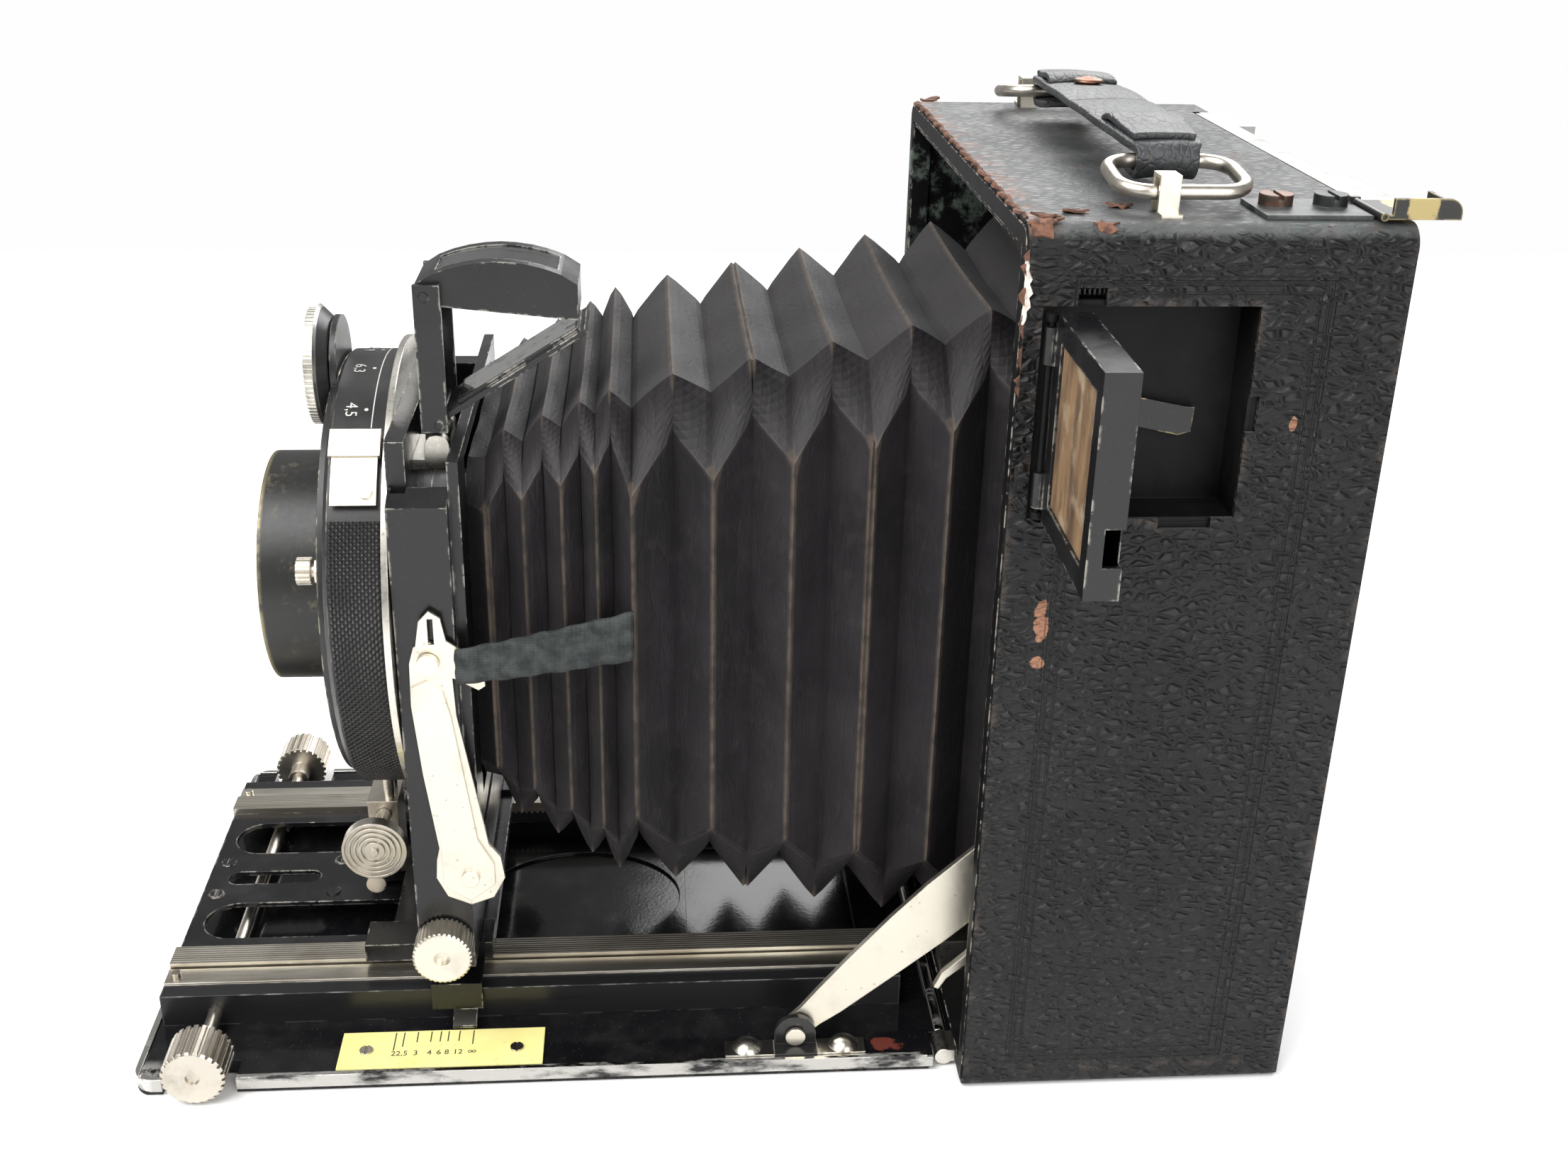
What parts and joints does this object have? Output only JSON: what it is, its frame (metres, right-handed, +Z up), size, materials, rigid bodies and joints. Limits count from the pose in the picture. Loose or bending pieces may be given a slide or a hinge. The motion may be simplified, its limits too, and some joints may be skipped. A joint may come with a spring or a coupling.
{
  "type": "folding plate camera",
  "caption": "Folding hand-and-stand plate camera, open on its drop bed, with leather bellows, reflecting finder and side hatch ajar.",
  "frame": {"origin": "mouth of the tripod bush in the middle of the body's base", "axes": "+Z up, lens looks along -Y, the side with the hatch is +X"},
  "size_m": [0.1576, 0.2238, 0.1749],
  "materials": {
    "black_paint": "satin enamel, worn to bare metal at edges",
    "leather": "fine pebble grain",
    "nickel": "worn nickel plate",
    "grey_metal": "dull plated sheet",
    "brass": "aged",
    "strap_leather": "smooth, cracked",
    "strap_cloth": "woven, matt",
    "bellows_leather": "thin matt hide, worn on the folds",
    "glass": "clear",
    "mirror_glass": "silvered",
    "scale_ivory": "yellowed enamel plate",
    "tan_board": "bare board with old glue"
  },
  "bodies": {
    "camera_body": {"body_shell": "black_paint", "leather_covers": "leather", "leather_base_cover": "leather", "front_opening_trim": "black_paint", "rear_partition": "black_paint", "tripod_bushes": "brass", "hatch_liner": "black_paint", "hatch_springs": "brass", "bed_hinge": "nickel", "body_inner_rails": "nickel", "handle_lugs": "nickel", "latch_plate": "black_paint", "handle_strap": "strap_leather"},
    "ring_near_body": {"handle_ring_near": "nickel"},
    "ring_far_body": {"handle_ring_far": "nickel"},
    "latch_body": {"back_latch": "black_paint"},
    "back_body": {"focusing_back_frame": "grey_metal", "ground_glass": "glass"},
    "hatch_body": {"hatch_door_tray": "black_paint", "hatch_door_panel": "tan_board"},
    "bed_release_body": {"bed_release_lever": "nickel"},
    "bed_body": {"bed_plate": "black_paint", "bed_leather": "leather", "bed_guides": "black_paint", "distance_scale": "scale_ivory", "bed_fittings": "nickel"},
    "strut_near_body": {"strut_near": "nickel"},
    "strut_far_body": {"strut_far": "nickel"},
    "pinion_body": {"pinion_shaft": "nickel", "focus_knobs": "nickel"},
    "track_body": {"track_plate": "black_paint", "track_rails": "nickel"},
    "standard_body": {"standard_base": "black_paint", "grip_bracket": "nickel", "distance_pointer": "black_paint"},
    "grip_near_body": {"grip_near": "nickel"},
    "grip_far_body": {"grip_far": "nickel"},
    "frame_body": {"shift_frame": "black_paint", "side_braces": "nickel", "bellows": "bellows_leather", "bellows_strap": "strap_cloth"},
    "shift_knob_body": {"shift_knob": "nickel"},
    "lens_body": {"lens_board": "black_paint", "shutter_flange": "nickel", "shutter_housing": "black_paint", "grip_band": "nickel", "lens_hood": "black_paint", "lens_cells": "black_paint", "lens_elements": "glass", "shutter_blades": "black_paint", "diaphragm_leaves": "black_paint", "finder_bracket": "nickel"},
    "aperture_body": {"aperture_index": "nickel"},
    "dial_body": {"speed_dial": "nickel"},
    "cocking_body": {"cocking_lever": "nickel"},
    "release_body": {"release_lever": "nickel"},
    "finder_body": {"finder_front": "black_paint", "finder_glass": "glass", "finder_hood": "black_paint", "finder_mirror": "mirror_glass"}
  },
  "joints": [
    {"name": "bed_fold", "type": "hinge", "parent": "camera_body", "child": "bed_body", "pos_m": [0, -0.0332, 0.0019], "axis": [1, 0, 0], "range_deg": [-15, 0], "deforming": ["bellows", "bellows_strap"]},
    {"name": "strut_near_swing", "type": "hinge", "parent": "bed_body", "child": "strut_near_body", "pos_m": [0.0504, -0.062, 0.006], "axis": [1, 0, 0], "range_deg": [-1, 20]},
    {"name": "strut_far_swing", "type": "hinge", "parent": "bed_body", "child": "strut_far_body", "pos_m": [-0.0504, -0.062, 0.006], "axis": [1, 0, 0], "range_deg": [-1, 20]},
    {"name": "track_focus", "type": "slide", "parent": "bed_body", "child": "track_body", "axis": [0, -1, 0], "range_m": [0, 0.04], "deforming": ["bellows", "bellows_strap"]},
    {"name": "pinion_turn", "type": "hinge", "parent": "bed_body", "child": "pinion_body", "pos_m": [0, -0.17415, 0.0062], "axis": [1, 0, 0], "range_deg": [-20, 1200]},
    {"name": "standard_slide", "type": "slide", "parent": "track_body", "child": "standard_body", "axis": [0, 1, 0], "range_m": [0, 0.04], "deforming": ["bellows", "bellows_strap"]},
    {"name": "grip_near_squeeze", "type": "slide", "parent": "standard_body", "child": "grip_near_body", "axis": [-1, 0, 0], "range_m": [0, 0.0025], "stiffness_N_per_m": 300, "springref_m": -0.002},
    {"name": "grip_far_squeeze", "type": "slide", "parent": "standard_body", "child": "grip_far_body", "axis": [1, 0, 0], "range_m": [0, 0.0025], "stiffness_N_per_m": 300, "springref_m": -0.002},
    {"name": "cross_shift", "type": "slide", "parent": "standard_body", "child": "frame_body", "axis": [-1, 0, 0], "range_m": [-0.004, 0.004], "deforming": ["bellows", "bellows_strap"]},
    {"name": "shift_knob_turn", "type": "hinge", "parent": "frame_body", "child": "shift_knob_body", "pos_m": [0, -0.1289, 0.0225], "axis": [1, 0, 0], "range_deg": [-480, 480]},
    {"name": "lens_rise", "type": "slide", "parent": "frame_body", "child": "lens_body", "axis": [0, 0, 1], "range_m": [0, 0.009]},
    {"name": "aperture_set", "type": "hinge", "parent": "lens_body", "child": "aperture_body", "pos_m": [0, -0.1405, 0.0835], "axis": [0, -1, 0], "range_deg": [0, 55]},
    {"name": "speed_set", "type": "hinge", "parent": "lens_body", "child": "dial_body", "pos_m": [0, -0.15, 0.1244], "axis": [0, -1, 0], "range_deg": [0, 300]},
    {"name": "cock_shutter", "type": "hinge", "parent": "lens_body", "child": "cocking_body", "pos_m": [0, -0.148, 0.0835], "axis": [0, -1, 0], "range_deg": [0, 38], "stiffness_Nm_per_rad": 0.02, "springref_deg": -5.73},
    {"name": "release_shutter", "type": "hinge", "parent": "lens_body", "child": "release_body", "pos_m": [-0.034, -0.1482, 0.086], "axis": [0, -1, 0], "range_deg": [0, 10], "stiffness_Nm_per_rad": 0.02, "springref_deg": -5.73},
    {"name": "finder_fold", "type": "hinge", "parent": "lens_body", "child": "finder_body", "pos_m": [0.021, -0.1262, 0.1176], "axis": [1, 0, 0], "range_deg": [0, 25]},
    {"name": "back_focus", "type": "slide", "parent": "camera_body", "child": "back_body", "axis": [0, 0, 1], "range_m": [0, 0.12]},
    {"name": "hatch_open", "type": "hinge", "parent": "camera_body", "child": "hatch_body", "pos_m": [0.063, -0.0262, 0.1346], "axis": [0, 0, 1], "range_deg": [0, 91], "stiffness_Nm_per_rad": 0.005, "springref_deg": -11.46},
    {"name": "latch_lift", "type": "hinge", "parent": "camera_body", "child": "latch_body", "pos_m": [0.0547, 0.02515, 0.166], "axis": [1, 0, 0], "range_deg": [0, 18], "stiffness_Nm_per_rad": 0.03, "springref_deg": -5.73},
    {"name": "ring_near_lift", "type": "hinge", "parent": "camera_body", "child": "ring_near_body", "pos_m": [0.0533, -0.004, 0.1683], "axis": [0, 1, 0], "range_deg": [0, 25], "deforming": ["handle_strap"]},
    {"name": "ring_far_lift", "type": "hinge", "parent": "camera_body", "child": "ring_far_body", "pos_m": [-0.0533, -0.004, 0.1683], "axis": [0, -1, 0], "range_deg": [0, 25]},
    {"name": "bed_release", "type": "hinge", "parent": "camera_body", "child": "bed_release_body", "pos_m": [0.0537, -0.0226, 0.0326], "axis": [1, 0, 0], "range_deg": [0, 8], "stiffness_Nm_per_rad": 0.02, "springref_deg": -5.73}
  ],
  "couplings": [
    {"joint": "strut_near_swing", "follows": "bed_fold", "ratio": -1.21},
    {"joint": "strut_far_swing", "follows": "bed_fold", "ratio": -1.21},
    {"joint": "pinion_turn", "follows": "track_focus", "rad_per_m": 500},
    {"joint": "grip_far_squeeze", "follows": "grip_near_squeeze", "ratio": 1},
    {"joint": "shift_knob_turn", "follows": "cross_shift", "rad_per_m": 2094.4},
    {"joint": "ring_far_lift", "follows": "ring_near_lift", "ratio": 1}
  ]
}
